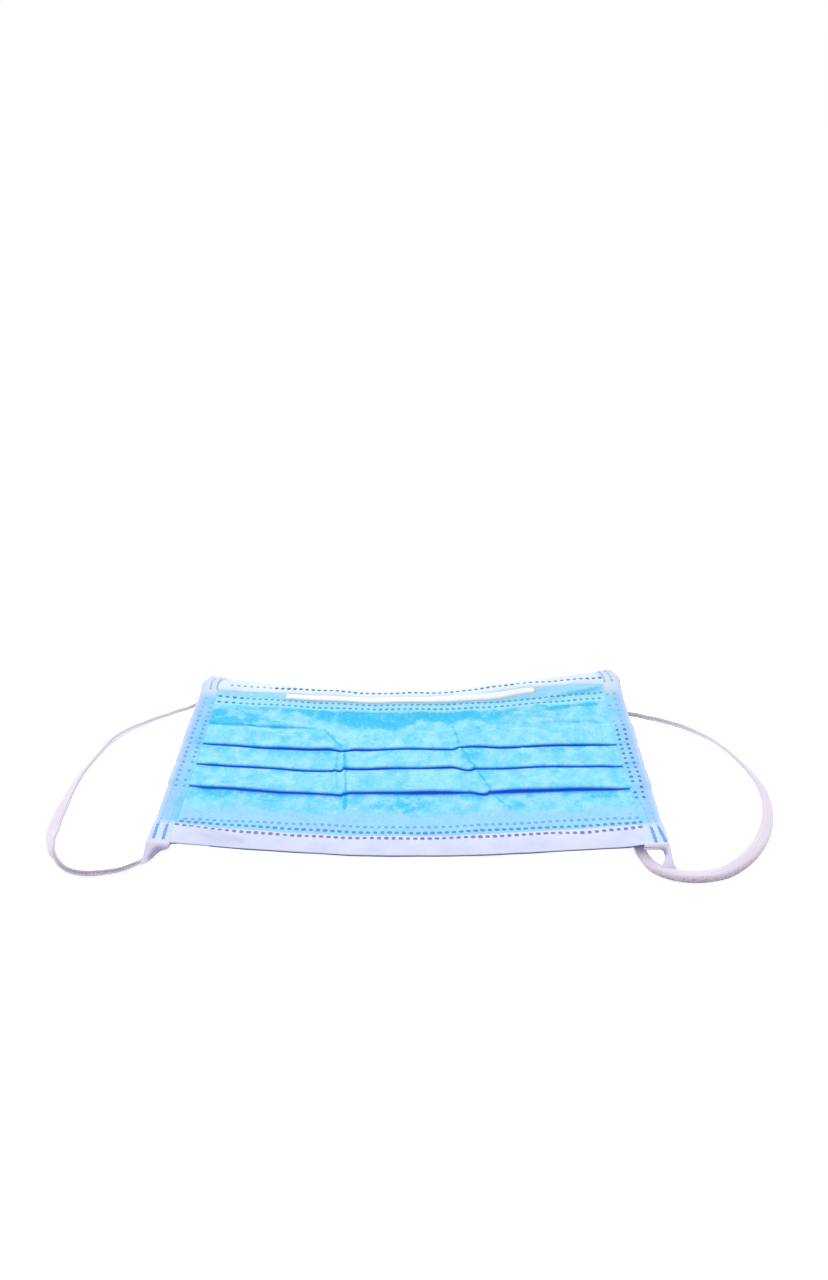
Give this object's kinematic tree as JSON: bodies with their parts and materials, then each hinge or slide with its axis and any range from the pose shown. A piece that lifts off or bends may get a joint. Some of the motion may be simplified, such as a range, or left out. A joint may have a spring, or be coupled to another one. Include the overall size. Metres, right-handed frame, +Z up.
{
  "type": "surgical face mask",
  "caption": "Flat-folded pleated face mask with a nose strip, white hems, folded side bindings and two elastic ear loops lying out to the sides.",
  "frame": {"origin": "on the resting surface, under the middle of the folded mask without its ear loops", "axes": "+X runs to the right along the pleats, +Y from the chin edge to the nose edge, +Z up, out of the mask's outer side"},
  "size_m": [0.259, 0.1053, 0.0121],
  "materials": {
    "outer_ply": "matte blue nonwoven",
    "hem": "matte white nonwoven",
    "nose_strip": "cream-white coated wire",
    "binding": "matte pale blue nonwoven",
    "elastic": "soft white knitted elastic"
  },
  "bodies": {
    "root": {"pleated_body": "outer_ply", "nose_hem": "hem", "chin_hem": "hem", "nose_wire": "nose_strip", "side_binding_left": "binding", "side_binding_right": "binding", "ear_loop_left": "elastic", "ear_loop_right": "elastic"}
  },
  "joints": []
}
